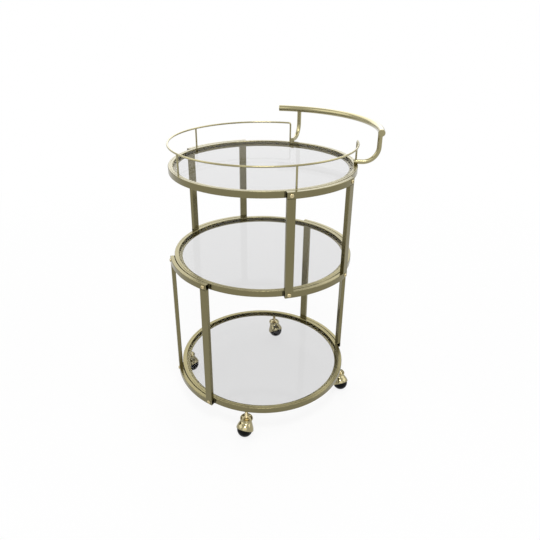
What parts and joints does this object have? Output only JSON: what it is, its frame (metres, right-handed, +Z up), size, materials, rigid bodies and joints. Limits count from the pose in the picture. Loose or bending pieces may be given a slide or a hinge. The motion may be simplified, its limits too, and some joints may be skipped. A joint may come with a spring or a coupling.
{
  "type": "dessert trolley",
  "caption": "Round dessert trolley: glass tiers in tube rings held by curved frames, with a wire gallery, a curved push handle and hooded ball casters.",
  "frame": {"origin": "centre of the whole trolley's footprint box on the floor; the tiers' common axis stands 21.3 mm from it towards -X", "axes": "+Z up; +X towards the handle (rear), -X front; a person pushing at the handle has +Y on the right"},
  "size_m": [0.5134, 0.4708, 0.7319],
  "materials": {
    "gold_frame": "satin champagne-gold coat on steel tube and rod",
    "polished_brass": "polished",
    "brass_fastener": "bright",
    "plain_steel": "bright zinc plate",
    "black_wheel": "glossy",
    "black_spacer": "matte",
    "clear_pad": "clear soft plastic",
    "clear_glass": "clear float glass with ground edges"
  },
  "bodies": {
    "trolley": {"bottom_frame_inserts": "plain_steel", "bottom_frame_screws": "brass_fastener", "bottom_frame_spacers": "black_spacer", "bottom_glass": "clear_glass", "bottom_glass_pads": "clear_pad", "bottom_ring": "gold_frame", "caster_inserts": "plain_steel", "caster_nuts": "brass_fastener", "caster_stem_front_left": "brass_fastener", "caster_stem_front_right": "brass_fastener", "caster_stem_rear_left": "brass_fastener", "caster_stem_rear_right": "brass_fastener", "caster_washers": "brass_fastener", "gallery_posts": "gold_frame", "gallery_rail": "gold_frame", "handle_arm_left": "gold_frame", "handle_arm_right": "gold_frame", "handle_bar": "gold_frame", "handle_end_caps": "gold_frame", "handle_screws": "brass_fastener", "lower_frame_front": "gold_frame", "lower_frame_rear": "gold_frame", "middle_frame_inserts": "plain_steel", "middle_frame_screws": "brass_fastener", "middle_frame_spacers": "black_spacer", "middle_glass": "clear_glass", "middle_glass_pads": "clear_pad", "middle_ring": "gold_frame", "top_frame_inserts": "plain_steel", "top_frame_screws": "brass_fastener", "top_frame_spacers": "black_spacer", "top_glass": "clear_glass", "top_glass_pads": "clear_pad", "top_ring": "gold_frame", "upper_frame_left": "gold_frame", "upper_frame_right": "gold_frame"},
    "caster_rear_right": {"caster_hood_rear_right": "polished_brass", "caster_axle_rear_right": "plain_steel"},
    "wheel_rear_right": {"caster_wheel_rear_right": "black_wheel"},
    "caster_front_right": {"caster_hood_front_right": "polished_brass", "caster_axle_front_right": "plain_steel"},
    "wheel_front_right": {"caster_wheel_front_right": "black_wheel"},
    "caster_front_left": {"caster_hood_front_left": "polished_brass", "caster_axle_front_left": "plain_steel"},
    "wheel_front_left": {"caster_wheel_front_left": "black_wheel"},
    "caster_rear_left": {"caster_hood_rear_left": "polished_brass", "caster_axle_rear_left": "plain_steel"},
    "wheel_rear_left": {"caster_wheel_rear_left": "black_wheel"}
  },
  "joints": [
    {"name": "swivel_rear_right", "type": "hinge", "parent": "trolley", "child": "caster_rear_right", "pos_m": [0.13334, 0.15464, 0.045], "axis": [0, 0, 1], "continuous": true},
    {"name": "roll_rear_right", "type": "hinge", "parent": "caster_rear_right", "child": "wheel_rear_right", "pos_m": [0.13258, 0.14467, 0.0195], "axis": [0.9971, -0.0767, 0], "continuous": true},
    {"name": "swivel_front_right", "type": "hinge", "parent": "trolley", "child": "caster_front_right", "pos_m": [-0.17594, 0.15464, 0.045], "axis": [0, 0, 1], "continuous": true},
    {"name": "roll_front_right", "type": "hinge", "parent": "caster_front_right", "child": "wheel_front_right", "pos_m": [-0.17462, 0.14473, 0.0195], "axis": [0.9912, 0.1323, 0], "continuous": true},
    {"name": "swivel_front_left", "type": "hinge", "parent": "trolley", "child": "caster_front_left", "pos_m": [-0.17594, -0.15464, 0.045], "axis": [0, 0, 1], "continuous": true},
    {"name": "roll_front_left", "type": "hinge", "parent": "caster_front_left", "child": "wheel_front_left", "pos_m": [-0.1846, -0.15966, 0.0195], "axis": [0.5015, -0.8652, 0], "continuous": true},
    {"name": "swivel_rear_left", "type": "hinge", "parent": "trolley", "child": "caster_rear_left", "pos_m": [0.13334, -0.15464, 0.045], "axis": [0, 0, 1], "continuous": true},
    {"name": "roll_rear_left", "type": "hinge", "parent": "caster_rear_left", "child": "wheel_rear_left", "pos_m": [0.13223, -0.16458, 0.0195], "axis": [0.9938, -0.1115, 0], "continuous": true}
  ]
}
